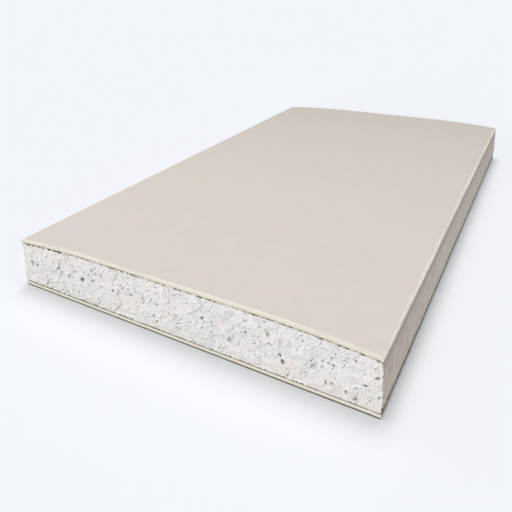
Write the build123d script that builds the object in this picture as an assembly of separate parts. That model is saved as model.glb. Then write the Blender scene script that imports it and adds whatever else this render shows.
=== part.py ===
"""A short cut piece of tapered-edge drywall sheet, lying on its back paper.

The sheet is a foamed gypsum core between two papers. One sheet of face paper covers the
front, turns down over both long edges, and is turned in under the core as a flap that is
pressed to a thin tip. The back paper lies flat under the core and closes over the flaps.
Both short ends are cuts, with the core set a little back from the papers.

Millimetres, +Z up from the back face. The origin is at the middle of the back face,
+Y runs along the long edges that the face paper binds, and +X runs across the board.
"""
from build123d import *
import os

# The board as a whole
board_thickness = 12.7
board_width = 85.0
board_length = 141.0

# Tapered long edges: the shallow dip that leaves room for joint tape and filler
taper_width = 25.0
taper_depth = 1.1

# Face paper, one sheet round both long edges
face_paper_thickness = 0.8
arris_radius = 0.9
heel_radius = 1.0
flap_length = 2.0
flap_tip_thickness = 0.15

# Back paper, one flat sheet
back_paper_thickness = 0.9
back_paper_setback = 0.15

# Gypsum core, broken off a little behind the cut papers
core_setback = 0.3

half_width = board_width / 2
edge_top = board_thickness - taper_depth
inside_of_heel = back_paper_thickness + face_paper_thickness


def wrapped_section():
    """Everything that the face paper goes round, the paper included, seen along the board."""
    with BuildSketch() as section:
        with BuildLine():
            flat = Line((0, board_thickness), (half_width - taper_width, board_thickness))
            dip = TangentArc(flat @ 1, (half_width, edge_top), tangent=flat % 1)
            side = Line(dip @ 1, (half_width, back_paper_thickness))
            Line(side @ 1, (0, back_paper_thickness))
            mirror(about=Plane.YZ)
        make_face()
        lowest = section.vertices().group_by(Axis.Y)[0].sort_by(Axis.X)
        fillet([lowest[0], lowest[-1]], heel_radius)
        sides = section.vertices().group_by(Axis.X)
        arrises = [side.sort_by(Axis.Y)[-1] for side in (sides[0], sides[-1])]
        fillet(arrises, arris_radius)
    return section.sketch


def sole_section():
    """The core's underside between the two flaps, down to the back paper."""
    root = half_width - heel_radius
    tip = root - flap_length
    tip_top = back_paper_thickness + flap_tip_thickness
    right = [(tip, back_paper_thickness), (tip, tip_top), (root, inside_of_heel)]
    left = [(-x, z) for x, z in reversed(right)]
    return make_face(Polyline(*right, *left, close=True))


def along_board(section, length):
    """The solid that a section drawn in X and Z makes along the board."""
    upright = Plane.XZ * section
    return extrude(upright, amount=length / 2, both=True)


wrapped = wrapped_section()
core = offset(wrapped, -face_paper_thickness) + sole_section()
core_length = board_length - 2 * core_setback

gypsum_core = along_board(core, core_length)
face_paper = along_board(wrapped - core, board_length)
back_paper = extrude(
    Rectangle(board_width - 2 * back_paper_setback, board_length),
    amount=back_paper_thickness,
)

os.makedirs("parts", exist_ok=True)
export_step(gypsum_core, "parts/gypsum_core.step")
export_step(face_paper, "parts/face_paper.step")
export_step(back_paper, "parts/back_paper.step")
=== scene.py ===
"""A short cut piece of tapered-edge drywall sheet on a pale studio floor.

Three pieces stand for the three CAD nodes: the foamed gypsum core with its broken, pitted
ends, the face paper wrapped round both long edges, and the flat back paper. Sizes in the
classes are millimetres. Each mesh is made in millimetres and turned into metres at the end.
"""

import logging
import math
import random
from dataclasses import dataclass
from enum import Enum

import bmesh
import bpy
from mathutils import Matrix, Vector, kdtree, noise


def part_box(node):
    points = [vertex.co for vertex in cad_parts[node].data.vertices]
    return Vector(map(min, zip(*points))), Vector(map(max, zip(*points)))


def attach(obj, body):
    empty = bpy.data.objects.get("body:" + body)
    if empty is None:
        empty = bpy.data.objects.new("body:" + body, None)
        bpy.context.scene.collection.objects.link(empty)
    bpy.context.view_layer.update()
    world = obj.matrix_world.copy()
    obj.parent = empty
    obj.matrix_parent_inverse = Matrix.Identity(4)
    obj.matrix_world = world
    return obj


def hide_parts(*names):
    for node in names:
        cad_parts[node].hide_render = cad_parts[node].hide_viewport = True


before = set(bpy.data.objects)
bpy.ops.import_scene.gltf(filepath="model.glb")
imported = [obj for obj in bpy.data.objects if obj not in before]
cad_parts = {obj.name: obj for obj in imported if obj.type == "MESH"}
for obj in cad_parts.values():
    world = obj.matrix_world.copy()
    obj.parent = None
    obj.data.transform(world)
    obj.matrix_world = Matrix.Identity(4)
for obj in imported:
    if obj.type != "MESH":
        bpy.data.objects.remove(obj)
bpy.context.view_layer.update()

LOG = logging.getLogger("drywall_sheet")
MM = 0.001

# The side of the photograph's square frame, in pixels
IMAGE_SIDE = 512

# Sockets of the colour form of Blender's Mix node
MIX_FACTOR = 0
MIX_A = 6
MIX_B = 7
MIX_RESULT = 2

# The facet tones between which a fracture facet goes from grainy to smooth
SMOOTH_TONES = (-0.15, 0.15)

# A mark of 0 or 1 counts as set above this, also after Blender has blended it
HALF_SET = 0.5

# Takes neighbouring facets to cells that are far apart in the noise
CELL_SPREAD = 37.0

# Takes the patches of cracks to another part of the noise than the cracks
PATCH_SHIFT = Vector((40, 0, 0))


class End(Enum):
    """The two cut ends of the board, by the side of the origin that they are on."""

    NEAR = -1
    FAR = 1


class Pattern(Enum):
    """The patterns of a broken end, by their places in the noise, which keep them unlike."""

    FACETS = 31.7
    CRACKS = 17.3
    BITES = 7.9
    CROWDS = 5.3


def linear(hex_colour: str) -> tuple[float, float, float, float]:
    """Turns an sRGB hex colour into the linear colour that a shader takes.

    Args:
        hex_colour: The colour, such as "#dbd3cc".

    Returns:
        Red, green, blue and an alpha of 1.
    """
    channels = [int(hex_colour[start:start + 2], 16) / 255 for start in (1, 3, 5)]
    lit = [c / 12.92 if c <= 0.04045 else ((c + 0.055) / 1.055) ** 2.4 for c in channels]
    return (*lit, 1.0)


def within(value: float, low: float, high: float) -> float:
    """The value, held within two limits."""
    return min(max(value, low), high)


def smooth_step(low: float, high: float, value: float) -> float:
    """Rises smoothly from 0 where the value is at low to 1 where it is at high."""
    share = within((value - low) / (high - low), 0.0, 1.0)
    return share * share * (3 - 2 * share)


def between(span: tuple[float, float], share: float) -> float:
    """The value at a share of the way along a span."""
    low, high = span
    return low + (high - low) * share


def add_node(
    tree: bpy.types.NodeTree,
    kind: str,
    inputs: dict | None = None,
    stops: tuple[tuple[float, str], ...] = (),
    **settings: object,
) -> bpy.types.Node:
    """Adds a node with its settings, input values and links.

    Args:
        tree: The node tree that gets the node.
        kind: The node's type name.
        inputs: A value or another node's output for each named or numbered input.
        stops: Places and hex colours along a colour ramp.
        settings: The node's own properties.

    Returns:
        The new node.
    """
    node = tree.nodes.new(kind)
    for name, value in settings.items():
        setattr(node, name, value)
    for name, value in (inputs or {}).items():
        if isinstance(value, bpy.types.NodeSocket):
            tree.links.new(value, node.inputs[name])
        else:
            node.inputs[name].default_value = value
    for index, (place, colour) in enumerate(stops):
        ends = node.color_ramp.elements
        stop = ends[index] if index < 2 else ends.new(place)
        stop.position = place
        stop.color = linear(colour)
    return node


def blank_material(name: str) -> tuple[bpy.types.Material, bpy.types.NodeTree]:
    """Makes a material with an empty node tree.

    Args:
        name: What the real material is called.

    Returns:
        The material and its node tree.
    """
    material = bpy.data.materials.new(name)
    material.use_nodes = True
    material.node_tree.nodes.clear()
    return material, material.node_tree


def patchy(
    tree: bpy.types.NodeTree,
    mark: bpy.types.NodeSocket,
    pattern: bpy.types.NodeSocket,
    span: tuple[float, float],
    least: float = 0.0,
) -> bpy.types.NodeSocket:
    """Breaks a mark up into patches, for wear, flecks and painted shade alike.

    Args:
        tree: The material's node tree.
        mark: The mark's share, from 0 to 1.
        pattern: The pattern that breaks it up.
        span: Where the pattern starts to show the mark, and where it shows all of it.
        least: The part of the mark that stays where the pattern is low.

    Returns:
        The broken mark's share, from 0 to 1.
    """
    uneven = add_node(tree, "ShaderNodeMapRange", {
        "Value": pattern,
        "From Min": span[0],
        "From Max": span[1],
        "To Min": least,
    })
    share = add_node(tree, "ShaderNodeMath", {
        0: mark,
        1: uneven.outputs["Result"],
    }, operation="MULTIPLY")
    return share.outputs["Value"]


def marked_mesh(*marks: str) -> bmesh.types.BMesh:
    """Starts a mesh whose vertices carry the named marks.

    Args:
        marks: The marks' names, which the materials read.

    Returns:
        The empty mesh.
    """
    mesh = bmesh.new()
    for mark in marks:
        mesh.verts.layers.float.new(mark)
    return mesh


def extrude_ring(
    mesh: bmesh.types.BMesh, ring: list[bmesh.types.BMEdge]
) -> tuple[list[bmesh.types.BMVert], list[bmesh.types.BMEdge]]:
    """Extrudes an open ring of edges.

    Args:
        mesh: The mesh.
        ring: The ring's edges.

    Returns:
        The new vertices, still in the old ones' places, and the new open ring.
    """
    grown = bmesh.ops.extrude_edge_only(mesh, edges=ring)["geom"]
    verts = [item for item in grown if isinstance(item, bmesh.types.BMVert)]
    edges = [item for item in grown if isinstance(item, bmesh.types.BMEdge) and item.is_boundary]
    return verts, edges


def extrude_sheet(mesh: bmesh.types.BMesh) -> list[bmesh.types.BMVert]:
    """Closes an open sheet with a copy in its own place, and gives the copy's vertices."""
    grown = bmesh.ops.extrude_face_region(mesh, geom=mesh.faces[:], use_keep_orig=True)["geom"]
    return [item for item in grown if isinstance(item, bmesh.types.BMVert)]


def divide_into_plies(mesh: bmesh.types.BMesh, plies: int) -> set[bmesh.types.BMVert]:
    """Marks the cut edge between a sheet's two faces, and divides it into plies.

    Args:
        mesh: The sheet, with a ply mark of 0 on its outer face and 1 on its inner one.
        plies: How many plies the cut edge gets.

    Returns:
        The cut edge's vertices.
    """
    ply = mesh.verts.layers.float["ply"]
    cut = mesh.faces.layers.float["cut"]
    across = [
        edge for edge in mesh.edges if abs(edge.verts[0][ply] - edge.verts[1][ply]) > HALF_SET
    ]
    for face in {face for edge in across for face in edge.link_faces}:
        face[cut] = 1.0
        face.smooth = False
    bmesh.ops.subdivide_edges(mesh, edges=across, cuts=plies - 1)
    return {vert for face in mesh.faces if face[cut] > HALF_SET for vert in face.verts}


def finish_mesh(
    mesh: bmesh.types.BMesh, name: str, material: bpy.types.Material
) -> bpy.types.Object:
    """Turns a finished bmesh in millimetres into an object in metres at the origin.

    Args:
        mesh: The closed mesh, which is freed.
        name: The piece's name.
        material: The piece's material.

    Returns:
        The new object, linked to the scene.
    """
    bmesh.ops.recalc_face_normals(mesh, faces=mesh.faces)
    bmesh.ops.scale(mesh, vec=(MM, MM, MM), verts=mesh.verts)
    data = bpy.data.meshes.new(name)
    mesh.to_mesh(data)
    mesh.free()
    data.materials.append(material)
    piece = bpy.data.objects.new(name, data)
    bpy.context.scene.collection.objects.link(piece)
    return piece


def place_piece(piece: bpy.types.Object, node: str) -> None:
    """Puts a piece in the frame in place of a CAD node.

    Args:
        piece: The finished piece.
        node: The CAD node that it stands for.
    """
    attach(piece, "root")
    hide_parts(node)
    triangles = sum(len(face.vertices) - 2 for face in piece.data.polygons)
    LOG.info("%s stands for %s, %d triangles", piece.name, node, triangles)


@dataclass(frozen=True)
class Speckle:
    """A cloudy pattern: its real size in millimetres, and how finely it breaks up."""

    size: float
    detail: float


@dataclass(frozen=True)
class Tint:
    """A colour that shows the more, the further its source goes from none to full."""

    source: bpy.types.NodeSocket
    colour: str | bpy.types.NodeSocket
    none: float = 0.0
    full: float = 1.0


@dataclass(frozen=True)
class MattSurface:
    """How a matt surface takes the light: by its fine relief, roughness, IOR and gloss."""

    height: float
    strength: float
    roughness: float
    ior: float
    gloss: float

    def dress(
        self,
        tree: bpy.types.NodeTree,
        base: str,
        tints: tuple[Tint, ...],
        relief: bpy.types.NodeSocket,
    ) -> None:
        """Ends a material with its tinted colour, its fine relief and its shader.

        Args:
            tree: The material's node tree.
            base: The colour under the tints.
            tints: The tints, from the lowest up.
            relief: The pattern of the fine relief.
        """
        colour = linear(base)
        for tint in tints:
            share = add_node(tree, "ShaderNodeMapRange", {
                "Value": tint.source,
                "From Min": tint.none,
                "From Max": tint.full,
            })
            over = linear(tint.colour) if isinstance(tint.colour, str) else tint.colour
            colour = add_node(tree, "ShaderNodeMix", {
                MIX_FACTOR: share.outputs["Result"],
                MIX_A: colour,
                MIX_B: over,
            }, data_type="RGBA").outputs[MIX_RESULT]
        bump = add_node(tree, "ShaderNodeBump", {
            "Height": relief,
            "Strength": self.strength,
            "Distance": self.height * MM,
        })
        shader = add_node(tree, "ShaderNodeBsdfPrincipled", {
            "Base Color": colour,
            "Roughness": self.roughness,
            "IOR": self.ior,
            "Specular IOR Level": self.gloss,
            "Normal": bump.outputs["Normal"],
        })
        add_node(tree, "ShaderNodeOutputMaterial", {"Surface": shader.outputs["BSDF"]})


@dataclass(frozen=True)
class FoamedGypsum:
    """Foamed gypsum, broken at the cut: chalky, off-white, with faint tints, painted highlight and
    shade on its slopes, and painted shade in its pores.
    """

    chalk: str = "#ebe6e2"
    warm_facet: str = "#eee5e1"
    cool_facet: str = "#e4e4e1"
    full_tone: float = 0.4
    speck: str = "#c1bbb5"
    speck_span: tuple[float, float] = (0.45, 0.28)
    smooth_specks: float = 0.2
    # Painted highlight and painted shade on slopes that lean towards or away from the upper left
    lit_side: str = "#fefcf9"
    lit_span: tuple[float, float] = (0.1, 0.36)
    dim_side: str = "#c3bbb4"
    dim_span: tuple[float, float] = (-0.25, -1.1)
    # Painted shade in pores, cracks and seams
    painted_pit_shade: str = "#352f2a"
    # Gypsum crystals are under 0.1 mm. Clumps of them are drawn, since those still show.
    crystals: Speckle = Speckle(0.3, 4.0)
    surface: MattSurface = MattSurface(0.12, 0.8, roughness=0.95, ior=1.52, gloss=0.25)

    def material(self) -> bpy.types.Material:
        """Makes the material: matt, since fine crystals scatter light with no gloss.

        Returns:
            The core's material.
        """
        material, tree = blank_material("foamed_gypsum")
        crystals = add_node(tree, "ShaderNodeTexNoise", {
            "Vector": add_node(tree, "ShaderNodeTexCoord").outputs["Object"],
            "Scale": 1 / (self.crystals.size * MM),
            "Detail": self.crystals.detail,
        }).outputs["Fac"]
        tone, slope, pit_shade = (
            add_node(tree, "ShaderNodeAttribute", attribute_name=name).outputs["Fac"]
            for name in ("tone", "slope", "pit_shade")
        )
        most = add_node(tree, "ShaderNodeMapRange", {
            "Value": tone,
            "From Min": SMOOTH_TONES[0],
            "From Max": SMOOTH_TONES[1],
            "To Min": 1.0,
            "To Max": self.smooth_specks,
        })
        specks = add_node(tree, "ShaderNodeMapRange", {
            "Value": crystals,
            "From Min": self.speck_span[0],
            "From Max": self.speck_span[1],
            "To Max": most.outputs["Result"],
        })
        tints = (
            Tint(tone, self.warm_facet, full=self.full_tone),
            Tint(tone, self.cool_facet, full=-self.full_tone),
            Tint(specks.outputs["Result"], self.speck),
            # Painted highlight and painted shade by slope
            Tint(slope, self.lit_side, *self.lit_span),
            Tint(slope, self.dim_side, *self.dim_span),
            # Painted shade in pores, cracks and seams
            Tint(pit_shade, self.painted_pit_shade),
        )
        self.surface.dress(tree, self.chalk, tints, crystals)
        return material


@dataclass(frozen=True, kw_only=True)
class LinerPaper:
    """Recycled liner paper, rolled smooth: matt, faintly mottled, its cut edge pale and layered."""

    name: str
    sheet: str
    rosy_mottle: str
    straw_mottle: str
    shaded_mottle: str
    # Painted shade towards the far end
    far_end_shade: str
    # The lip beside the cut: pale frayed fibres, partly a painted highlight
    cut_lip: str
    edge_stops: tuple[tuple[float, str], ...]
    edge_wobble: float
    # Painted shade at the low edges: the face paper's heel and the back paper's long cut edges
    low_edge_shade: str
    least_low_edge_shade: float = 0.6
    mottles: Speckle = Speckle(11.0, 3.0)
    mottle_span: tuple[float, float] = (0.45, 0.7)
    clouds: Speckle = Speckle(3.0, 4.0)
    cloud_span: tuple[float, float] = (0.5, 0.75)
    spots: Speckle = Speckle(0.9, 1.0)
    patch_span: tuple[float, float] = (0.35, 0.65)
    layers: Speckle = Speckle(1.4, 3.0)
    # How the painted shade grows towards the far end, and over what reach
    far_end_shade_power: float = 1.5
    far_end_shade_reach: float = 70.0
    # Paper fibres are about 0.03 mm wide. They are drawn ten times as wide, so that they show.
    fibre_width: float = 0.3
    fibre_length: float = 2.5
    fibre_detail: float = 2.0
    surface: MattSurface = MattSurface(0.012, 0.5, roughness=0.88, ior=1.5, gloss=0.3)

    def material(self) -> bpy.types.Material:
        """Makes the material from the sheet's mottle, its fibres and the layers in its cut edge.

        Returns:
            The paper's material.
        """
        material, tree = blank_material(self.name)
        place = add_node(tree, "ShaderNodeTexCoord").outputs["Object"]
        mottles, clouds, spots, wander = (
            add_node(tree, "ShaderNodeTexNoise", {
                "Vector": place,
                "Scale": 1 / (pattern.size * MM),
                "Detail": pattern.detail,
            }).outputs
            for pattern in (self.mottles, self.clouds, self.spots, self.layers)
        )
        mottle = add_node(tree, "ShaderNodeSeparateColor", {"Color": mottles["Color"]}).outputs
        lip, cut, low_edge_shade = (
            add_node(tree, "ShaderNodeAttribute", attribute_name=name).outputs["Fac"]
            for name in ("lip", "cut", "low_edge_shade")
        )
        patchy_low_edge_shade = patchy(tree, low_edge_shade, spots["Fac"], self.patch_span, self.least_low_edge_shade)
        # Among the tints: painted shade towards the far end, on the sides, in the crease and at the
        # low edges, and painted highlight at the arris and the lip
        tints = (
            Tint(mottle["Red"], self.rosy_mottle, *self.mottle_span),
            Tint(mottle["Green"], self.straw_mottle, *self.mottle_span),
            Tint(clouds["Fac"], self.shaded_mottle, *self.cloud_span),
            Tint(self.far_end_shading(tree, place), self.far_end_shade),
            *self.side_and_arris_tints(tree, clouds["Fac"], spots["Fac"]),
            Tint(lip, self.cut_lip),
            Tint(cut, self.cut_edge(tree, wander["Fac"])),
            Tint(patchy_low_edge_shade, self.low_edge_shade),
        )
        across, along = (1 / (size * MM) for size in (self.fibre_width, self.fibre_length))
        stretch = add_node(tree, "ShaderNodeMapping", {
            "Vector": place,
            "Scale": (across, along, across),
        })
        fibres = add_node(tree, "ShaderNodeTexNoise", {
            "Vector": stretch.outputs["Vector"],
            "Scale": 1.0,
            "Detail": self.fibre_detail,
        })
        self.surface.dress(tree, self.sheet, tints, fibres.outputs["Fac"])
        return material

    def side_and_arris_tints(
        self, tree: bpy.types.NodeTree, clouds: bpy.types.NodeSocket, spots: bpy.types.NodeSocket
    ) -> tuple[Tint, ...]:
        """The tints of wrapped sides and an arris, painted shade and highlight among them: none,
        since this sheet lies flat.
        """
        return ()

    def far_end_shading(self, tree: bpy.types.NodeTree, place: bpy.types.NodeSocket) -> bpy.types.NodeSocket:
        """Paints shade on the sheet towards its far end, darker the further along it is.

        Args:
            tree: The material's node tree.
            place: The Object coordinates.

        Returns:
            The share of toning, from 0 to 1.
        """
        axes = add_node(tree, "ShaderNodeSeparateXYZ", {"Vector": place})
        along = add_node(tree, "ShaderNodeMapRange", {
            "Value": axes.outputs["Y"],
            "From Min": -self.far_end_shade_reach * MM,
            "From Max": self.far_end_shade_reach * MM,
        })
        curve = add_node(tree, "ShaderNodeMath", {
            0: along.outputs["Result"],
            1: self.far_end_shade_power,
        }, operation="POWER")
        return curve.outputs["Value"]

    def cut_edge(
        self, tree: bpy.types.NodeTree, wander: bpy.types.NodeSocket
    ) -> bpy.types.NodeSocket:
        """Colours the cut edge by how deep in the sheet a point is.

        Args:
            tree: The material's node tree.
            wander: The pattern that the layers wander by.

        Returns:
            The cut edge's colour.
        """
        ply = add_node(tree, "ShaderNodeAttribute", attribute_name="ply")
        centred = add_node(tree, "ShaderNodeMath", {
            0: wander,
            1: 0.5,
        }, operation="SUBTRACT")
        depth = add_node(tree, "ShaderNodeMath", {
            0: centred.outputs["Value"],
            1: self.edge_wobble,
            2: ply.outputs["Fac"],
        }, operation="MULTIPLY_ADD")
        layers = add_node(
            tree, "ShaderNodeValToRGB", {"Fac": depth.outputs["Value"]}, stops=self.edge_stops
        )
        return layers.outputs["Color"]


@dataclass(frozen=True, kw_only=True)
class WrappedLinerPaper(LinerPaper):
    """Liner paper that wraps the long edges: rubbed pale with a painted highlight at the arris,
    flecked and painted with shade on the sides.
    """

    # Painted shade on the long sides, in patches
    side_shade: str
    least_side_shade: float = 0.45
    fleck: str
    fleck_span: tuple[float, float] = (0.67, 0.75)
    # Pale at the arris: rubbing wear and a painted highlight
    worn_and_highlit: str
    least_wear_and_highlight: float = 0.5
    # Painted shade in the fold under the arris, and below it
    crease_and_shade: str

    def side_and_arris_tints(
        self, tree: bpy.types.NodeTree, clouds: bpy.types.NodeSocket, spots: bpy.types.NodeSocket
    ) -> tuple[Tint, ...]:
        """The tints on the sides and the arris: painted shade on the sides and in the crease,
        flecks, and wear with a painted highlight.

        Args:
            tree: The material's node tree.
            clouds: The cloudy pattern.
            spots: The spotted pattern.

        Returns:
            The tints, from the lowest up.
        """
        side, wear_and_highlight, crease_and_shade = (
            add_node(tree, "ShaderNodeAttribute", attribute_name=name).outputs["Fac"]
            for name in ("side", "wear_and_highlight", "crease_and_shade")
        )
        return (
            Tint(patchy(tree, side, clouds, self.patch_span, self.least_side_shade), self.side_shade),
            Tint(patchy(tree, side, spots, self.fleck_span), self.fleck),
            Tint(patchy(tree, wear_and_highlight, spots, self.patch_span, self.least_wear_and_highlight), self.worn_and_highlit),
            Tint(crease_and_shade, self.crease_and_shade),
        )


FACE_LINER = WrappedLinerPaper(
    name="ivory_face_liner_paper",
    sheet="#dad1cd",
    rosy_mottle="#ddd2cd",
    straw_mottle="#dad3c9",
    shaded_mottle="#d7d0ca",
    far_end_shade="#c8c1b8",
    side_shade="#c6b7a8",
    fleck="#8d8273",
    worn_and_highlit="#fff6ee",
    crease_and_shade="#afa297",
    cut_lip="#fffaf0",
    edge_stops=(
        (0.0, "#f3eee3"),
        (1.0, "#a89878"),
        (0.2, "#efe8d8"),
        (0.3, "#e7e0d0"),
        (0.48, "#ebe4d4"),
        (0.66, "#e0d6c3"),
        (0.8, "#e5dcca"),
        (0.9, "#d1c5aa"),
    ),
    edge_wobble=0.2,
    low_edge_shade="#877c6f",
)

BACK_LINER = LinerPaper(
    name="grey_tan_back_liner_paper",
    sheet="#c3b8a7",
    rosy_mottle="#c6b8a8",
    straw_mottle="#bdb4a2",
    shaded_mottle="#bdb2a1",
    far_end_shade="#beb3a1",
    cut_lip="#e3d8c0",
    edge_stops=(
        (0.0, "#e0d6c1"),
        (1.0, "#cfc3a6"),
        (0.07, "#eae2cf"),
        (0.18, "#f1ecdf"),
        (0.48, "#ede6d6"),
        (0.56, "#d2c6a9"),
        (0.64, "#efe9db"),
        (0.88, "#e8dfcc"),
    ),
    edge_wobble=0.12,
    low_edge_shade="#6b6153",
)


@dataclass(frozen=True)
class SectionPoint:
    """A point on the outside of the face paper, in the board's section."""

    x: float
    z: float
    turn: float
    paper: float

    def inward(self) -> Vector:
        """The direction from the outside of the paper to its inside."""
        return Vector((-math.sin(self.turn), 0, -math.cos(self.turn)))

    def mirrored(self) -> "SectionPoint":
        """The same point on the other long edge."""
        return SectionPoint(-self.x, self.z, -self.turn, self.paper)


@dataclass(frozen=True)
class BoardSection:
    """The board's section: flat middle, tapered long edges, arris, side, heel and flap."""

    half_width: float
    top: float
    back_paper: float
    paper: float = 0.8
    taper_width: float = 25.0
    taper_depth: float = 1.1
    arris_radius: float = 0.9
    heel_radius: float = 1.0
    flap_length: float = 2.0
    flap_tip: float = 0.15
    # The broken core spreads over the cut wrap, to this far from its outside
    cover: float = 0.08
    corner_drop: float = 0.06
    squareness: int = 6
    # The fold under the arris, and the wider shade under it
    crease_turns: tuple[float, float] = (1.15, 1.5)
    crease_drop: float = 2.3
    shade_drop: float = 6.0
    crease_weights: tuple[float, float] = (0.7, 0.3)
    # The core's rim is turned in under the wrap, to this far inside it
    slack: float = 0.02

    @property
    def taper_start(self) -> float:
        """Half the width of the flat middle."""
        return self.half_width - self.taper_width

    @property
    def taper_radius(self) -> float:
        """The radius of the shallow arc that dips to each long edge."""
        return (self.taper_width ** 2 + self.taper_depth ** 2) / (2 * self.taper_depth)

    @property
    def arris_x(self) -> float:
        """How far out the centre of the arris is."""
        return self.half_width - self.arris_radius

    @property
    def arris_z(self) -> float:
        """The height of the centre of the arris."""
        return self.front(self.arris_x, depth=self.arris_radius)

    @property
    def heel_x(self) -> float:
        """How far out the centre of the heel is."""
        return self.half_width - self.heel_radius

    @property
    def heel_z(self) -> float:
        """The height of the centre of the heel."""
        return self.back_paper + self.heel_radius

    def front(self, x: float, depth: float = 0.0) -> float:
        """The height of the front face, or of a surface at some depth under it.

        Args:
            x: The place across the board.
            depth: How far under the front face.

        Returns:
            The height above the floor.
        """
        out = max(abs(x) - self.taper_start, 0.0)
        radius = self.taper_radius - depth
        return self.top - self.taper_radius + math.sqrt(radius ** 2 - out ** 2)

    def flap_thickness(self, x: float) -> float:
        """How thick the turned-in flap is at a place across the board."""
        share = (abs(x) - self.heel_x + self.flap_length) / self.flap_length
        return between((self.flap_tip, self.paper), within(share, 0.0, 1.0))

    def arc(
        self, centre: tuple[float, float], radius: float, turns: tuple[float, float], spacing: float
    ) -> list[SectionPoint]:
        """Points along an arc of the paper's outside, without its last one.

        Args:
            centre: The arc's centre in x and z.
            radius: The arc's radius.
            turns: How far from level the outside has turned at the start and at the end.
            spacing: The distance between points.

        Returns:
            The points in order.
        """
        points = []
        for k in range(count := round(radius * (turns[1] - turns[0]) / spacing)):
            turn = between(turns, k / count)
            x = centre[0] + radius * math.sin(turn)
            z = centre[1] + radius * math.cos(turn)
            points.append(SectionPoint(x, z, turn, self.paper))
        return points

    def half_outline(self, spacing: float, fine: float) -> list[SectionPoint]:
        """The outside of the face paper, from the middle of the front to the right flap's tip.

        Args:
            spacing: The distance between points on the flat and gently curved stretches.
            fine: The distance between points round the arris and the heel.

        Returns:
            The points in order.
        """
        reach = self.taper_radius - self.arris_radius
        steep = math.asin((self.arris_x - self.taper_start) / reach)
        upright = math.pi / 2
        points = []
        for k in range(count := round(self.taper_start / spacing)):
            points.append(SectionPoint(self.taper_start * k / count, self.top, 0.0, self.paper))
        taper_centre = (self.taper_start, self.top - self.taper_radius)
        points += self.arc(taper_centre, self.taper_radius, (0.0, steep), spacing)
        points += self.arc((self.arris_x, self.arris_z), self.arris_radius, (steep, upright), fine)
        rise = self.arris_z - self.heel_z
        for k in range(count := round(rise / spacing)):
            z = self.arris_z - rise * k / count
            points.append(SectionPoint(self.half_width, z, upright, self.paper))
        points += self.arc((self.heel_x, self.heel_z), self.heel_radius, (upright, math.pi), fine)
        for k in range((count := round(self.flap_length / (2 * spacing))) + 1):
            x = self.heel_x - self.flap_length * k / count
            points.append(SectionPoint(x, self.back_paper, math.pi, self.flap_thickness(x)))
        return points

    def outline(self, spacing: float, fine: float) -> list[SectionPoint]:
        """The outside of the face paper from the left flap's tip to the right one's.

        Args:
            spacing: The distance between points on the flat and gently curved stretches.
            fine: The distance between points round the arris and the heel.

        Returns:
            The points in order.
        """
        right = self.half_outline(spacing, fine)
        left = [point.mirrored() for point in reversed(right[1:])]
        return left + right

    def broken_face(self, share_x: float, share_z: float) -> tuple[float, float]:
        """A place on a broken end of the core, which spreads over the cut wrap at the sides.

        Args:
            share_x: The place across the board, from -1 to 1.
            share_z: The place up the core, from 0 to 1.

        Returns:
            The place in x and z.
        """
        reach = self.half_width - self.cover
        x = share_x * reach
        past = max(abs(x) - self.arris_x, 0.0)
        high = self.front(min(abs(x), self.arris_x), self.paper)
        high -= self.corner_drop * (past / (reach - self.arris_x)) ** 2
        radius = self.heel_radius - self.cover
        square = self.squareness
        low = self.heel_z - max(radius ** square - past ** square, 0.0) ** (1 / square)
        return x, low + (high - low) * share_z

    def core_top(self, x: float) -> float:
        """The height of the upper rim of a broken end, just under the face paper."""
        return self.broken_face(abs(x) / (self.half_width - self.cover), 1.0)[1]

    def crease_and_shade(self, point: SectionPoint) -> float:
        """How strongly the fold under the arris shows: its groove, and the painted shade in and
        under it.

        Args:
            point: The section's point.

        Returns:
            The fold's share, from 0 to 1.
        """
        if point.z < self.heel_z or abs(point.x) < self.arris_x:
            return 0.0
        drop = self.arris_z - point.z
        near = self.crease_weights[0] * smooth_step(self.crease_drop, 0.0, drop)
        wide = self.crease_weights[1] * smooth_step(self.shade_drop, 0.0, drop)
        return smooth_step(*self.crease_turns, abs(point.turn)) * (near + wide)

    def inside_wrap(self, x: float, z: float) -> tuple[float, float]:
        """Moves a place on the rim of a broken end in under the wrapped paper.

        Args:
            x: The place across the board.
            z: The height.

        Returns:
            The place in x and z on the core inside the wrap.
        """
        side = math.copysign(1.0, x)
        folds = (
            (z > self.arris_z, self.arris_x, self.arris_z, self.arris_radius),
            (z < self.heel_z, self.heel_x, self.heel_z, self.heel_radius),
        )
        for beyond, centre_x, centre_z, radius in folds:
            if beyond and abs(x) > centre_x:
                out = Vector((abs(x) - centre_x, z - centre_z))
                limit = radius - self.paper - self.slack
                inside = out * min(limit / max(out.length, self.slack), 1.0)
                return side * (centre_x + inside.x), centre_z + inside.y
        inner = self.half_width - self.paper - self.slack
        if abs(x) > inner:
            return side * inner, z
        if z < self.heel_z:
            return x, self.back_paper + self.flap_thickness(x) + self.slack
        return x, z - self.slack


@dataclass(frozen=True)
class Pore:
    """An air pore in a broken end, or a crumb where its depth share is negative."""

    x: float
    z: float
    radius: float
    slope: float = 0.0
    stretch: float = 1.0
    depth_share: float = 1.6
    # How much painted shade the hollow gets
    dark: float = 1.0
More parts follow.
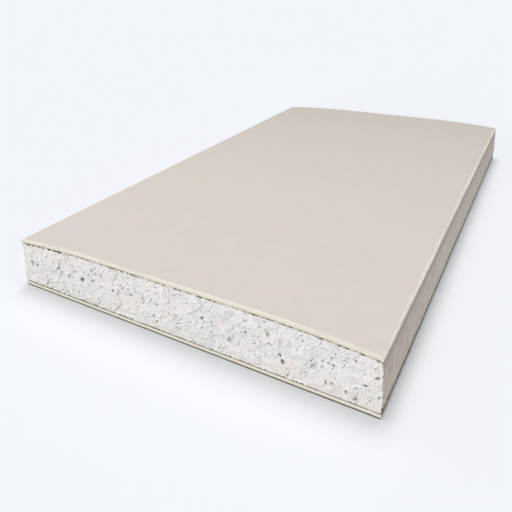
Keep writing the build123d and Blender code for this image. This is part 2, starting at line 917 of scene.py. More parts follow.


# The pores and crumbs that stand out on the near end, in millimetres: picked in the photo,
# with many places worked out from its pixels through the fitted camera and rounded to 0.1
MAIN_PORES = (
    Pore(-39.5, 6.4, 0.28, -0.8, 1.7),
    Pore(-38.1, 5.9, 0.25, -0.9, 1.5),
    Pore(-33.0, 5.6, 0.24),
    Pore(-31.0, 6.9, 0.26, 0.8, 1.6, 1.2, 0.6),
    Pore(-30.6, 5.2, 0.22, -0.8, 1.8),
    Pore(-25.8, 7.4, 0.28, -1.0, 1.4),
    Pore(-23.7, 6.2, 0.42, 1.4, 1.2, 1.9),
    Pore(-20.5, 6.8, 0.3, -1.2, 1.3),
    Pore(-20.2, 9.4, 0.22, 1.2, 2.0, 1.3, 0.7),
    Pore(-18.0, 6.2, 0.22),
    Pore(-14.5, 6.2, 0.33),
    Pore(-10.0, 6.4, 0.27),
    Pore(-6.7, 6.7, 0.28),
    Pore(-3.0, 6.5, 0.25),
    Pore(-4.0, 3.7, 0.25),
    Pore(9.6, 9.2, 0.26),
    Pore(7.8, 6.9, 0.28, 0.6, 1.3),
    Pore(8.0, 5.0, 0.22),
    Pore(10.2, 7.0, 0.22),
    Pore(13.9, 4.2, 0.5, 0.3, 1.2, 0.9, 0.35),
    Pore(13.8, 4.6, 0.24, 0.2, 1.6, 1.2, 0.6),
    Pore(17.4, 7.2, 0.28),
    Pore(22.3, 6.7, 0.28, -0.7, 1.4),
    Pore(24.2, 4.9, 0.27, -0.9, 1.5, 1.6, 0.8),
    Pore(24.7, 3.8, 0.28, -1.1, 1.9, 1.8, 0.9),
    Pore(25.1, 4.6, 0.24, -1.1, 2.2, -1.1, 0.0),
    Pore(30.4, 4.8, 0.5, 0.5, 1.15, 0.8, 0.25),
    Pore(30.5, 5.2, 0.25, 0.2, 1.7, 1.2, 0.7),
    Pore(29.9, 5.5, 0.2, 0.4, 2.0, -1.1, 0.0),
    Pore(32.8, 2.9, 0.19, -1.1, 2.0, 1.3, 0.8),
    Pore(33.2, 6.6, 0.2, 0.1, 1.4),
    Pore(34.1, 6.7, 0.23),
    Pore(36.4, 2.7, 0.22, -1.2, 1.6, 1.3, 0.85),
    Pore(37.9, 9.0, 0.22, -0.3, 1.6),
    Pore(39.6, 5.2, 0.22, -0.3, 1.5),
    Pore(41.5, 7.3, 0.26, 0.8, 2.2, 1.3, 0.7),
    Pore(41.9, 3.7, 0.22, 0.6, 1.3, 1.3, 0.7),
)


@dataclass(frozen=True)
class Seam:
    """The broken line where the core meets a paper: a shallow groove with painted shade in it."""

    width: float
    noise_row: float
    dash: float = 1.2
    dash_swell: float = 0.6
    notch: float = 0.48
    notch_shift: float = 7.7
    notch_swell: float = 2.0
    taper: float = 0.3
    shown: tuple[float, float, float] = (0.78, 0.9, 1.2)
    full_width: float = 0.35

    def share(self, x: float, gap: float, side: float, seed: int) -> float:
        """How much of the line is at a place.

        Args:
            x: The place across the board.
            gap: The distance from the paper.
            side: The place across the board as a share of its half width.
            seed: The end's seed.

        Returns:
            The line's share, from 0 to 1.
        """
        dash = noise.noise(Vector((x / self.dash, self.noise_row, seed)))
        notch = noise.noise(Vector((x / self.notch, self.noise_row + self.notch_shift, seed)))
        width = self.width * (1 + self.dash_swell * dash + self.notch_swell * max(notch, 0.0))
        width *= 1 - self.taper * side
        usual, by_dash, by_notch = self.shown
        shown = within(usual + by_dash * dash + by_notch * notch, 0.0, 1.0)
        return smooth_step(width, self.full_width * width, gap) * shown


@dataclass(frozen=True)
class BrokenEnd:
    """One broken end of the core: facets, cracks, grain, pores, crumbs, seams and bitten sides."""

    section: BoardSection
    end: End
    half_length: float
    columns: int
    rows: int
    seed: int
    main_pores: tuple[Pore, ...]
    # Small pores between the main ones, which gather in crowds, with painted shade in them
    small_pores: int = 340
    small_radius: tuple[float, float] = (0.075, 0.19)
    small_stretch: tuple[float, float] = (1.0, 2.2)
    small_dark: tuple[float, float] = (0.3, 0.95)
    small_dark_power: float = 1.3
    steepest: float = 1.6
    crowd_size: float = 4.0
    crowd_mean: float = 0.5
    pore_spacing: float = 1.3
    pore_reach: float = 0.985
    pore_heights: tuple[float, float] = (0.04, 0.96)
    # Loose crumbs, which stand out from the face
    crumbs: int = 800
    crumb_radius: tuple[float, float] = (0.08, 0.2)
    crumb_stretch: tuple[float, float] = (1.0, 1.8)
    crumb_rise: float = -0.7
    # The outline of pores and crumbs and the painted shade in pores, each looked for within its own
    # reach
    ragged: float = 0.5
    ragged_size: float = 0.8
    search: float = 1.5
    dark_spread: float = 1.4
    # How far the face stands behind the cut, and its slow swells
    mean_recess: float = 0.27
    least_recess: float = 0.04
    swell_size: float = 9.0
    swell_height: float = 0.12
    # Flat, tilted fracture facets, the warmer of them smooth
    facet_sizes: tuple[float, float] = (3.4, 1.3)
    facet_bend: float = 0.5
    facet_bend_size: float = 0.5
    facet_height: float = 0.13
    facet_tilt: float = 0.16
    facet_warmth: float = 0.6
    smooth_facets: float = 0.85
    # Short, curved cracks in patches, with painted shade in them
    crack_size: float = 1.0
    crack_bend: float = 0.6
    crack_share: float = 0.16
    crack_depth: float = 0.065
    crack_patch: float = 0.9
    crack_span: tuple[float, float] = (0.08, 0.3)
    crack_dark: float = 0.13
    # The grain of the broken foam, and how much wider than high all of the relief is
    grain_size: float = 0.36
    grain_height: float = 0.13
    grain_roughness: float = 0.8
    grain_step: float = 2.0
    grain_levels: int = 3
    flatness: float = 0.8
    # The way that a slope faces to get painted highlight, across and up; slopes that face away get
    # painted shade
    light_from: tuple[float, float] = (-0.5, 0.85)
    # The seams along the papers, grooved and with painted shade, a painted shaded strip under the
    # upper paper, and the strip beside them that the papers hold in place
    upper_seam: Seam = Seam(0.23, 13.8)
    lower_seam: Seam = Seam(0.15, 9.0)
    seam_depth: float = 0.12
    shaded_strip: float = 0.17
    held_width: float = 1.0
    held_share: float = 0.6
    # The sides, where the core is bitten away
    side_bite: float = 0.45
    side_bite_size: float = 1.2
    side_bite_apart: float = 3.7
    side_bite_mix: tuple[float, float, float] = (0.25, 0.7, 0.5)
    side_bite_fine: float = 3.1
    left_top_crumble: float = 0.25
    crumble_span: tuple[float, float] = (3.0, 9.0)
    side_blend: float = 1.2
    # The rim, which is turned in under the wrap
    rim_depth: float = 0.5
    rim_wall: float = 0.1
    deepest_rim: float = 0.38

    def in_noise(self, across: float, up: float, pattern: Pattern) -> Vector:
        """A place in the noise of one of this end's patterns."""
        return Vector((across, up, pattern.value * self.seed))

    def facets(self, here: Vector, size: float) -> tuple[float, float]:
        """The flat, tilted fracture facets at a place.

        Args:
            here: The place in the facets' noise.
            size: The width of a facet.

        Returns:
            The depth, shallow or deep of the mean, and the tone, above 0 where it is warmer.
        """
        bend = noise.noise_vector(here / (self.facet_bend_size * size))
        bent = here / size + self.facet_bend * bend
        centre = noise.voronoi(bent)[1][0]
        lean = noise.cell_vector(centre * CELL_SPREAD)
        offset = bent - centre
        step = self.facet_height * size * (lean.z - 0.5)
        tilt = self.facet_tilt * size * ((lean.x - 0.5) * offset.x + (lean.y - 0.5) * offset.y)
        return step + tilt, lean.y - 0.5

    def relief(self, x: float, z: float) -> tuple[float, float]:
        """The broken face's depth, before its pores and rims.

        Args:
            x: The place across the board.
            z: The height.

        Returns:
            The depth behind the plane of the cut, and the facets' tone.
        """
        here = self.in_noise(self.flatness * x, z, Pattern.FACETS)
        depth = self.mean_recess + self.swell_height * noise.noise(here / self.swell_size)
        tone = 0.0
        for size in self.facet_sizes:
            facet, warmth = self.facets(here, size)
            depth += facet
            tone += self.facet_warmth * warmth
        rough = self.grain_height * (1 - self.smooth_facets * smooth_step(*SMOOTH_TONES, tone))
        grain = noise.fractal(
            here / self.grain_size, self.grain_roughness, self.grain_step, self.grain_levels
        )
        return depth + rough * grain, tone

    def crack(self, x: float, z: float) -> float:
        """The short, curved cracks between the grains, in patches.

        Args:
            x: The place across the board.
            z: The height.

        Returns:
            How much of a crack is there, from 0 to 1.
        """
        here = self.in_noise(self.flatness * x, z, Pattern.CRACKS)
        bend = noise.noise_vector(here / self.crack_size)
        nearest, second = noise.voronoi(here / self.crack_size + self.crack_bend * bend)[0][:2]
        line = smooth_step(self.crack_share, 0.0, second - nearest)
        patch = noise.noise(here / self.crack_patch + PATCH_SHIFT)
        return line * smooth_step(*self.crack_span, patch)

    def bite(self, z: float, side: float) -> float:
        """How much of the core has broken away at a side, at a height.

        Args:
            z: The height.
            side: The side, -1 or 1.

        Returns:
            The width that is missing.
        """
        across = side * self.side_bite_apart
        here = self.in_noise(across, z / self.side_bite_size, Pattern.BITES)
        usual, coarse, fine = self.side_bite_mix
        rough = usual + coarse * noise.noise(here) + fine * noise.noise(here * self.side_bite_fine)
        bite = self.side_bite * within(rough, 0.0, 1.0)
        if side < 0:
            bite += self.left_top_crumble * smooth_step(*self.crumble_span, z)
        return bite

    def lay_out(self, mesh: bmesh.types.BMesh, verts: list[bmesh.types.BMVert]) -> None:
        """Spreads a flat grid over the end and gives it its relief, with depth held in y.

        Args:
            mesh: The core's mesh.
            verts: The grid's vertices, row by row.
        """
        section = self.section
        pit_shade = mesh.verts.layers.float["pit_shade"]
        warmth = mesh.verts.layers.float["tone"]
        reach = section.half_width - section.cover
        for index, vert in enumerate(verts):
            row, column = divmod(index, self.columns + 1)
            share_x = 2 * column / self.columns - 1
            x, z = section.broken_face(share_x, row / self.rows)
            low = section.broken_face(share_x, 0.0)[1]
            high = section.broken_face(share_x, 1.0)[1]
            depth, tone = self.relief(x, z)
            held_high = self.held_share * smooth_step(self.held_width, 0.0, high - z)
            held_low = smooth_step(self.held_width, 0.0, z - low)
            depth *= 1 - max(held_high, held_low)
            crack = self.crack(x, z)
            across = x / section.half_width
            seam = max(
                self.upper_seam.share(x, high - z - self.shaded_strip, across, self.seed),
                self.lower_seam.share(x, z - low, across, self.seed),
            )
            depth = max(depth, self.least_recess)
            depth += self.seam_depth * seam + self.crack_depth * crack
            edge = smooth_step(reach - self.side_blend, reach, abs(x))
            side = math.copysign(1.0, x)
            x -= side * edge * self.bite(z, side)
            depth += edge * (min(depth, self.deepest_rim) - depth)
            vert.co = (x, depth, z)
            # Painted shade in the seams and cracks
            vert[pit_shade] = max(seam, self.crack_dark * crack)
            vert[warmth] = tone

    def drawn_place(self, draw: random.Random) -> tuple[float, float]:
        """A random place on the end, clear of its rim, in x and z."""
        share_x = draw.uniform(-self.pore_reach, self.pore_reach)
        return self.section.broken_face(share_x, draw.uniform(*self.pore_heights))

    def all_pores(self) -> list[Pore]:
        """Fills in small pores and crumbs between the main ones, in a fixed random order.

        Returns:
            The main pores, the small ones and the crumbs.
        """
        draw = random.Random(self.seed)
        pores = list(self.main_pores)
        while len(pores) < len(self.main_pores) + self.small_pores:
            x, z = self.drawn_place(draw)
            radius = between(self.small_radius, draw.random() ** 2)
            slope = draw.uniform(-self.steepest, self.steepest)
            stretch = draw.uniform(*self.small_stretch)
            dark = between(self.small_dark, draw.random() ** self.small_dark_power)
            crowd = noise.noise(self.in_noise(x, z, Pattern.CROWDS) / self.crowd_size)
            if draw.random() > self.crowd_mean + crowd:
                continue
            spacing = self.pore_spacing
            if all(math.hypot(x - p.x, z - p.z) > spacing * (radius + p.radius) for p in pores):
                pores.append(Pore(x, z, radius, slope, stretch, dark=dark))
        for _ in range(self.crumbs):
            x, z = self.drawn_place(draw)
            radius = draw.uniform(*self.crumb_radius)
            slope = draw.uniform(-self.steepest, self.steepest)
            stretch = draw.uniform(*self.crumb_stretch)
            pores.append(Pore(x, z, radius, slope, stretch, self.crumb_rise, 0.0))
        return pores

    def sink_pores(self, mesh: bmesh.types.BMesh, verts: list[bmesh.types.BMVert]) -> None:
        """Sinks each pore into the face and marks painted shade by its depth in the pit layer.

        Args:
            mesh: The core's mesh.
            verts: The end's vertices.
        """
        pit_shade = mesh.verts.layers.float["pit_shade"]
        tree = kdtree.KDTree(len(verts))
        for index, vert in enumerate(verts):
            tree.insert((vert.co.x, 0, vert.co.z), index)
        tree.balance()
        for pore in self.all_pores():
            reach = pore.radius * pore.stretch * (self.search + self.ragged)
            long_way = Vector((math.cos(pore.slope), math.sin(pore.slope)))
            for place, index, _ in tree.find_range((pore.x, 0, pore.z), reach):
                out = Vector((place.x - pore.x, place.z - pore.z))
                along = out.dot(long_way) / pore.stretch
                across = out.cross(long_way)
                swirl = Vector((out.x, out.y, pore.x)) / (self.ragged_size * pore.radius)
                edge = pore.radius * (1 + self.ragged * noise.noise(swirl))
                share = math.hypot(along, across) / edge
                vert = verts[index]
                if share < 1:
                    hollow = math.sqrt(1 - share * share)
                    vert.co.y += pore.depth_share * pore.radius * hollow
                    # Painted shade in the hollow, darker where it is deeper
                    vert[pit_shade] = max(vert[pit_shade], pore.dark * min(self.dark_spread * hollow, 1.0))

    def mark_slopes(self, mesh: bmesh.types.BMesh, verts: list[bmesh.types.BMVert]) -> None:
        """Marks how far each place leans towards the upper left, beyond the usual lean of its row,
        for painted highlight and painted shade.

        Args:
            mesh: The core's mesh.
            verts: The end's vertices, row by row.
        """
        slope = mesh.verts.layers.float["slope"]
        wide = self.columns + 1
        section = self.section
        spacing_x = 2 * (section.half_width - section.cover) / self.columns
        spacing_z = (section.top - section.paper - section.back_paper) / self.rows
        for row in range(1, self.rows):
            inner = range(row * wide + 1, (row + 1) * wide - 1)
            ups = [(verts[i + wide].co.y - verts[i - wide].co.y) / (2 * spacing_z) for i in inner]
            usual = sum(ups) / len(ups)
            for index, up in zip(inner, ups):
                across = (verts[index + 1].co.y - verts[index - 1].co.y) / (2 * spacing_x)
                lean = self.light_from[0] * across + self.light_from[1] * (up - usual)
                verts[index][slope] = lean

    def build(self, mesh: bmesh.types.BMesh) -> list[bmesh.types.BMEdge]:
        """Builds the end with its rim turned in under the wrap.

        Args:
            mesh: The core's mesh, which gets the end.

        Returns:
            The ring of edges where the end meets the length of the core.
        """
        verts = bmesh.ops.create_grid(
            mesh, x_segments=self.columns, y_segments=self.rows, size=0.5
        )["verts"]
        own = set(verts)
        for face in mesh.faces:
            if face.verts[0] in own:
                face.smooth = True
        self.lay_out(mesh, verts)
        self.sink_pores(mesh, verts)
        self.mark_slopes(mesh, verts)
        ring = [edge for edge in mesh.edges if edge.is_boundary and edge.verts[0] in own]
        rim, ring = extrude_ring(mesh, ring)
        for vert in rim:
            vert.co.y = max(vert.co.y + self.rim_wall, self.rim_depth)
        root, ring = extrude_ring(mesh, ring)
        for vert in root:
            vert.co.x, vert.co.z = self.section.inside_wrap(vert.co.x, vert.co.z)
        for vert in (*verts, *rim, *root):
            vert.co.y = self.end.value * (self.half_length - max(vert.co.y, 0.0))
        return ring


@dataclass(frozen=True)
class GypsumCore:
    """The foamed core between the papers, broken at both ends."""

    near: BrokenEnd
    far: BrokenEnd
    finish: FoamedGypsum
    seed: int = 8

    def build(self) -> bpy.types.Object:
        """Builds the core as one closed mesh, with the two ends joined along the board.

        Returns:
            The core's object.
        """
        # Blender seeds its vector noise from the clock, unless a script sets the seed
        noise.seed_set(self.seed)
        mesh = marked_mesh("pit_shade", "slope", "tone")
        near_ring = self.near.build(mesh)
        far_ring = self.far.build(mesh)
        bmesh.ops.bridge_loops(mesh, edges=near_ring + far_ring)
        return finish_mesh(mesh, "gypsum_core_broken_ends", self.finish.material())


def graded_rows(half_length: float, count: int, power: float) -> list[float]:
    """The places of rows along the board, closer together, by the power, towards the cut ends."""
    near = [half_length * (k / count) ** power - half_length for k in range(count + 1)]
    return near + [-place for place in reversed(near[:-1])]


@dataclass(frozen=True)
class Fray:
    """How a cut paper edge frays: how deep, how evenly, and how large along the edge."""

    depth: float
    size: float
    mean: float = 0.45
    swing: float = 0.55
    fine_swing: float = 0.0
    fine_step: float = 3.3
    across_plies: float = 3.0

    def stand_back(self, here: Vector) -> float:
        """How far the edge stands back at a place in the noise.

        Args:
            here: The place in the noise.

        Returns:
            The distance back from the cut.
        """
        rough = self.mean + self.swing * noise.noise(here)
        rough += self.fine_swing * noise.noise(here * self.fine_step)
        return self.depth * max(rough, 0.0)


@dataclass(frozen=True)
class FacePaper:
    """The face paper, one sheet over the front, round both long edges and in under the core."""

    section: BoardSection
    half_length: float
    finish: LinerPaper
    spacing: float = 0.16
    fine: float = 0.09
    rows: int = 22
    row_power: float = 2.6
    plies: int = 6
    # The cut end stands back at the sides, and its lip is rounded and pale: frayed fibres, partly a
    # painted highlight
    side_trim: float = 0.47
    trim_blend: float = 0.06
    lip_width: float = 0.33
    lip_blend: tuple[float, float] = (1.15, 0.75)
    lip_turns: tuple[float, float] = (0.5, 1.0)
    rounding: float = 0.13
    rounded_ply: float = 0.3
    fray: Fray = Fray(0.08, 0.7, fine_swing=0.4)
    fray_row: float = 9.1
    # The sheet follows the core in slow waves, with a groove along the fold under the arris
    slump: float = 0.035
    slump_size: float = 16.0
    groove: float = 0.06
    # Wear with a painted highlight at the arris comes and goes, and spares the near end
    highlit_wear_start: float = 0.12
    highlit_wear_width: float = 0.4
    highlit_wear_turns: tuple[float, float] = (1.45, 1.05)
    highlit_wear_size: float = 5.0
    highlit_wear_mean: float = 0.6
    highlit_wear_swing: float = 0.9
    highlit_wear_least: float = 0.3
    highlit_wear_spared: float = 0.15
    spared_from: float = 0.6
    # Painted shade on the long sides, deeper towards the near end, and painted shade at the heel
    side_turns: tuple[float, float] = (0.9, 1.4)
    side_even: float = 0.68
    side_even_from: float = 0.3
    heel_turns: tuple[float, float] = (1.6, 2.3)
    seed: int = 4

    def end_trim(self, x: float, z: float) -> float:
        """How far the paper's end stands back, where the broken core spreads over it."""
        line = self.section.core_top(x) - 2 * self.trim_blend
        return self.side_trim * smooth_step(line + self.trim_blend, line - self.trim_blend, z)

    def wear_and_highlight(self, point: SectionPoint, y: float) -> float:
        """How pale the fold at the arris is painted, at a place along it: rubbing wear and a
        painted highlight.

        Args:
            point: The section's point.
            y: The place along the board.

        Returns:
            The wear, from 0 to 1.
        """
        start = self.section.arris_x + self.highlit_wear_start
        across = smooth_step(start, start + self.highlit_wear_width, abs(point.x))
        across *= smooth_step(*self.highlit_wear_turns, abs(point.turn))
        here = Vector((y / self.highlit_wear_size, point.x, self.seed))
        along = within(self.highlit_wear_mean + self.highlit_wear_swing * noise.noise(here), self.highlit_wear_least, 1.0)
        spared = smooth_step(self.spared_from * self.half_length, self.half_length, -y)
        return across * along * (1 - self.highlit_wear_spared * spared)

    def lay_out(self, mesh: bmesh.types.BMesh, points: list[SectionPoint]) -> None:
        """Wraps a flat grid round the board as the outside of the paper.

        Args:
            mesh: The paper's mesh, which holds only the grid.
            points: The section's points, one for each column.
        """
        wear_and_highlight, lip, crease_and_shade, side, low_edge_shade, at_end = (
            mesh.verts.layers.float[mark]
            for mark in ("wear_and_highlight", "lip", "crease_and_shade", "side", "low_edge_shade", "at_end")
        )
        column_of = mesh.verts.layers.int["column"]
        rows = graded_rows(self.half_length, self.rows, self.row_power)
        lip_start, lip_full = (self.lip_width * share for share in self.lip_blend)
        for index, vert in enumerate(mesh.verts):
            row, column = divmod(index, len(points))
            point = points[column]
            trim = self.end_trim(point.x, point.z)
            y = rows[row] * (self.half_length - trim) / self.half_length
            here = Vector((point.x, y, self.seed)) / self.slump_size
            down = self.slump * between((0.5, 1.0), noise.noise(here))
            # The fold's groove, and painted shade in and under it
            vert[crease_and_shade] = self.section.crease_and_shade(point)
            down += self.groove * vert[crease_and_shade]
            vert.co = Vector((point.x, y, point.z)) + point.inward() * down
            turn = abs(point.turn)
            inset = self.half_length - abs(rows[row])
            vert[lip] = smooth_step(lip_start, lip_full, inset)
            vert[lip] *= 1 - smooth_step(*self.lip_turns, turn)
            vert[at_end] = float(row in (0, 2 * self.rows))
            vert[wear_and_highlight] = self.wear_and_highlight(point, y)
            # Painted shade on the long sides, deeper towards the near end
            near = smooth_step(self.side_even_from * self.half_length, self.half_length, -y)
            vert[side] = between((self.side_even, 1.0), near) * smooth_step(*self.side_turns, turn)
            # Painted shade where the paper turns in under the heel
            vert[low_edge_shade] = smooth_step(*self.heel_turns, turn)
            vert[column_of] = column

    def build(self) -> bpy.types.Object:
        """Builds the wrapped sheet with its layered, frayed cut edges.

        Returns:
            The face paper's object.
        """
        mesh = marked_mesh("wear_and_highlight", "lip", "crease_and_shade", "side", "low_edge_shade", "ply", "at_end")
        mesh.verts.layers.int.new("column")
        mesh.faces.layers.float.new("cut")
        points = self.section.outline(self.spacing, self.fine)
        bmesh.ops.create_grid(mesh, x_segments=len(points) - 1, y_segments=2 * self.rows, size=0.5)
        self.lay_out(mesh, points)
        for face in mesh.faces:
            face.smooth = True
        self.thicken(mesh, points)
        self.layer_edges(mesh)
        return finish_mesh(mesh, "face_paper_wrap", self.finish.material())

    def thicken(self, mesh: bmesh.types.BMesh, points: list[SectionPoint]) -> None:
        """Closes the sheet with its inside, at the paper's thickness from its outside.

        Args:
            mesh: The paper's mesh, which holds only its outside.
            points: The section's points.
        """
        ply = mesh.verts.layers.float["ply"]
        column_of = mesh.verts.layers.int["column"]
        for vert in extrude_sheet(mesh):
            point = points[vert[column_of]]
            outer_reach = self.half_length - self.end_trim(point.x, point.z)
            vert.co += point.inward() * point.paper
            vert.co.y *= (self.half_length - self.end_trim(vert.co.x, vert.co.z)) / outer_reach
            vert[ply] = 1.0

    def layer_edges(self, mesh: bmesh.types.BMesh) -> None:
        """Divides the cut edge into plies, rounds its outer ply and frays it.

        Args:
            mesh: The paper's mesh.
        """
        ply = mesh.verts.layers.float["ply"]
        at_end = mesh.verts.layers.float["at_end"]
        cut = mesh.faces.layers.float["cut"]
        for vert in divide_into_plies(mesh, self.plies):
            if vert[at_end] > HALF_SET:
                up = vert.co.z * self.fray.across_plies
                here = Vector((vert.co.x / self.fray.size, up, self.fray_row * self.seed))
                back = self.end_trim(vert.co.x, vert.co.z) + self.fray.stand_back(here)
                back += self.rounding * smooth_step(self.rounded_ply, 0.0, vert[ply]) ** 2
                vert.co.y = math.copysign(self.half_length - back, vert.co.y)
        for face in mesh.faces:
            middle = face.calc_center_median()
            if middle.z < self.section.core_top(middle.x) - self.trim_blend:
                face[cut] = 0.0


@dataclass(frozen=True)
class BackPaper:
    """The flat back paper, under the core and over the flaps of the face paper."""

    low: Vector
    high: Vector
    finish: LinerPaper
    spacing: float = 0.2
    rows: int = 24
    row_power: float = 2.4
    plies: int = 6
    undercut: float = 0.2
    undercut_plies: tuple[float, float] = (0.6, 1.0)
    fray: Fray = Fray(0.09, 0.8)
    side_fray: float = 0.4
    ledge_width: float = 0.5
    edge_slack: float = 1e-4

    def build(self) -> bpy.types.Object:
        """Builds the sheet as a slab with layered cut edges, tucked in along the floor.

        Returns:
            The back paper's object.
        """
        mesh = marked_mesh("lip", "ply", "low_edge_shade")
        mesh.faces.layers.float.new("cut")
        lip = mesh.verts.layers.float["lip"]
        ply = mesh.verts.layers.float["ply"]
        columns = round((self.high.x - self.low.x) / self.spacing)
        rows = graded_rows(self.high.y, self.rows, self.row_power)
        bmesh.ops.create_grid(mesh, x_segments=columns, y_segments=2 * self.rows, size=0.5)
        for index, vert in enumerate(mesh.verts):
            row, column = divmod(index, columns + 1)
            vert.co = (between((self.low.x, self.high.x), column / columns), rows[row], self.high.z)
            inset = self.high.y - abs(rows[row])
            vert[lip] = smooth_step(2 * self.ledge_width, self.ledge_width, inset)
        for vert in extrude_sheet(mesh):
            vert.co.z = self.low.z
            vert[ply] = 1.0
            vert[lip] = 0.0
        self.roughen(mesh)
        return finish_mesh(mesh, "back_paper_sheet", self.finish.material())

    def roughen(self, mesh: bmesh.types.BMesh) -> None:
        """Divides the cut edges into plies, frays them and tucks their lowest ply in.

        Args:
            mesh: The sheet's mesh.
        """
        ply = mesh.verts.layers.float["ply"]
        low_edge_shade = mesh.verts.layers.float["low_edge_shade"]
        for vert in divide_into_plies(mesh, self.plies):
            here = Vector((vert.co.x, vert.co.y, vert.co.z * self.fray.across_plies))
            frayed = self.fray.stand_back(here / self.fray.size)
            tucked = self.undercut * smooth_step(*self.undercut_plies, vert[ply]) ** 2
            if abs(vert.co.x) > self.high.x - self.edge_slack:
                # Painted shade on the long cut edges, along the floor
                vert[low_edge_shade] = 1.0
                vert.co.x -= math.copysign(self.side_fray * frayed + tucked, vert.co.x)
            if abs(vert.co.y) > self.high.y - self.edge_slack:
                vert[low_edge_shade] = 0.0
                vert.co.y -= math.copysign(frayed + tucked, vert.co.y)


@dataclass(frozen=True)
class SeamlessFloor:
    """A painted studio sweep: matt and nearly white, with a faint blue cast."""

    colour: str = "#f2f6fb"
    half_side: float = 20.0

    def build(self) -> bpy.types.Object:
        """Builds the floor that the board lies on.

        Returns:
            The floor's object.
        """
        mesh = bmesh.new()
        bmesh.ops.create_grid(mesh, x_segments=2, y_segments=2, size=self.half_side)
        data = bpy.data.meshes.new("studio_floor")
        mesh.to_mesh(data)
        mesh.free()
        material, tree = blank_material("matt_studio_paint")
        shader = add_node(tree, "ShaderNodeBsdfPrincipled", {
            "Base Color": linear(self.colour),
            "Roughness": 1.0,
            "Specular IOR Level": 0.0,
        })
        add_node(tree, "ShaderNodeOutputMaterial", {"Surface": shader.outputs["BSDF"]})
        data.materials.append(material)
        floor = bpy.data.objects.new("studio_floor", data)
        bpy.context.scene.collection.objects.link(floor)
        return floor


@dataclass(frozen=True)
class SoftLamp:
    """A large soft lamp, far enough away to light the whole floor evenly."""

    name: str
    azimuth: float
    elevation: float
    share: float
    width: float

    def build(self) -> bpy.types.Object:
        """Builds the lamp so that a white card that faces it gets its share of full white.

        Returns:
            The lamp's object.
        """
        lamp = bpy.data.lights.new(self.name, type="SUN")
        lamp.energy = self.share * math.pi
        lamp.angle = math.radians(self.width)
        lit = bpy.data.objects.new(self.name, lamp)
        around = math.radians(self.azimuth)
        up = math.radians(self.elevation)
        level = math.cos(up)
        towards = Vector((math.sin(around) * level, math.cos(around) * level, math.sin(up)))
        lit.rotation_mode = "QUATERNION"
        lit.rotation_quaternion = towards.to_track_quat("Z", "Y")
        bpy.context.scene.collection.objects.link(lit)
        return lit


@dataclass(frozen=True)
class StripSoftbox:
    """A long softbox over the board, made of soft lamps in a row along it."""

    name: str = "overhead_strip"
    lean_left: float = 4.3
    leans_back: tuple[float, ...] = (2.4, 12.3, 22.2)
    share: float = 0.507
    width: float = 26.0

    def build(self) -> None:
        """Builds the lamps, each leaning from straight overhead by its own angle."""
        for number, lean_back in enumerate(self.leans_back, start=1):
            left = math.tan(math.radians(self.lean_left))
            back = math.tan(math.radians(lean_back))
            azimuth = math.degrees(math.atan2(-left, back))
            elevation = math.degrees(math.atan2(1, math.hypot(left, back)))
            share = self.share / len(self.leans_back)
            SoftLamp(f"{self.name}_{number}", azimuth, elevation, share, self.width).build()


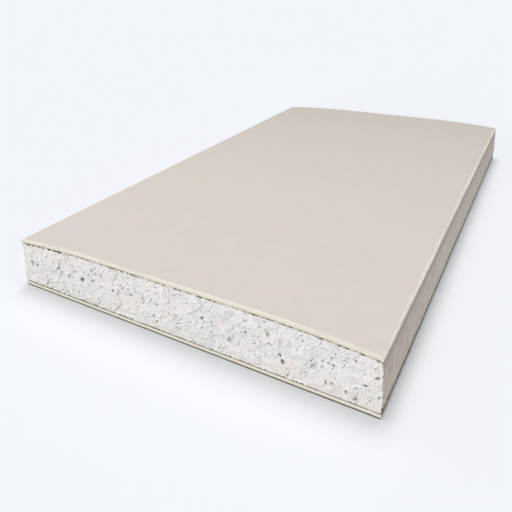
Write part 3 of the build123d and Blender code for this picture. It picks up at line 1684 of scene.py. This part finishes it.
@dataclass(frozen=True)
class Studio:
    """The pale room: floor, sky light, a strip softbox overhead, a low lamp and the camera."""

    floor: SeamlessFloor = SeamlessFloor()
    overhead: StripSoftbox = StripSoftbox()
    low_key: SoftLamp = SoftLamp("low_front_softbox", 180.0, 17.0, 0.34, 31.0)
    sky_share: float = 0.41
    sky_colour: str = "#ffffff"
    camera_place: tuple[float, float, float] = (60.5, -138.6, 67.8)
    camera_aim: tuple[float, float, float] = (-35.5, 26.5, 12.7)
    camera_roll: float = -1.56
    focal_pixels: float = 530.8
    axis_pixel_y: float = 131.0
    sensor_width: float = 36.0

    def light(self) -> None:
        """Sets the sky light, whose camera colour is the floor's, so that no horizon shows."""
        world = bpy.data.worlds.new("pale_room")
        bpy.context.scene.world = world
        world.use_nodes = True
        tree = world.node_tree
        tree.nodes.clear()
        path = add_node(tree, "ShaderNodeLightPath")
        seen = path.outputs["Is Camera Ray"]
        for ray in ("Is Glossy Ray", "Is Transmission Ray"):
            seen = add_node(tree, "ShaderNodeMath", {
                0: seen,
                1: path.outputs[ray],
            }, operation="MAXIMUM").outputs["Value"]
        sky = add_node(tree, "ShaderNodeBackground", {
            "Color": linear(self.sky_colour),
            "Strength": self.sky_share,
        })
        backdrop = add_node(tree, "ShaderNodeBackground", {
            "Color": linear(self.floor.colour),
            "Strength": 1.0,
        })
        mix = add_node(tree, "ShaderNodeMixShader", {
            0: seen,
            1: sky.outputs["Background"],
            2: backdrop.outputs["Background"],
        })
        add_node(tree, "ShaderNodeOutputWorld", {"Surface": mix.outputs["Shader"]})
        self.overhead.build()
        self.low_key.build()

    def camera(self) -> bpy.types.Object:
        """Builds the camera where the photograph's is, as fitted to the board's outline.

        Returns:
            The camera's object, which the scene now looks through.
        """
        data = bpy.data.cameras.new("photo_camera")
        data.sensor_width = self.sensor_width
        data.lens = self.sensor_width * self.focal_pixels / IMAGE_SIDE
        data.shift_y = (self.axis_pixel_y - IMAGE_SIDE / 2) / IMAGE_SIDE
        data.clip_start = 0.01
        data.clip_end = 100.0
        camera = bpy.data.objects.new("photo_camera", data)
        place = Vector(self.camera_place) * MM
        view = Vector(self.camera_aim) * MM - place
        roll = Matrix.Rotation(math.radians(self.camera_roll), 3, "Z")
        camera.rotation_mode = "QUATERNION"
        aim = view.to_track_quat("-Z", "Y").to_matrix()
        camera.rotation_quaternion = (aim @ roll).to_quaternion()
        camera.location = place
        bpy.context.scene.collection.objects.link(camera)
        bpy.context.scene.camera = camera
        return camera

    def build(self) -> None:
        """Builds the room and the camera."""
        self.floor.build()
        self.light()
        self.camera()


def main() -> None:
    """Builds the room and the three pieces of the board."""
    logging.basicConfig(level=logging.INFO, format="%(name)s: %(message)s")
    bpy.context.scene.view_settings.view_transform = "Standard"
    face_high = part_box("face_paper")[1] / MM
    back_low, back_high = (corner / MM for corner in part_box("back_paper"))
    section = BoardSection(half_width=face_high.x, top=face_high.z, back_paper=back_high.z)
    Studio().build()
    core = GypsumCore(
        near=BrokenEnd(
            section, End.NEAR, face_high.y, columns=720, rows=90, seed=3, main_pores=MAIN_PORES
        ),
        far=BrokenEnd(
            section, End.FAR, face_high.y, columns=440, rows=55, seed=8, main_pores=()
        ),
        finish=FoamedGypsum(),
    )
    place_piece(core.build(), "gypsum_core")
    wrap = FacePaper(section, face_high.y, FACE_LINER)
    place_piece(wrap.build(), "face_paper")
    back = BackPaper(back_low, back_high, BACK_LINER)
    place_piece(back.build(), "back_paper")


if __name__ == "__main__":
    main()
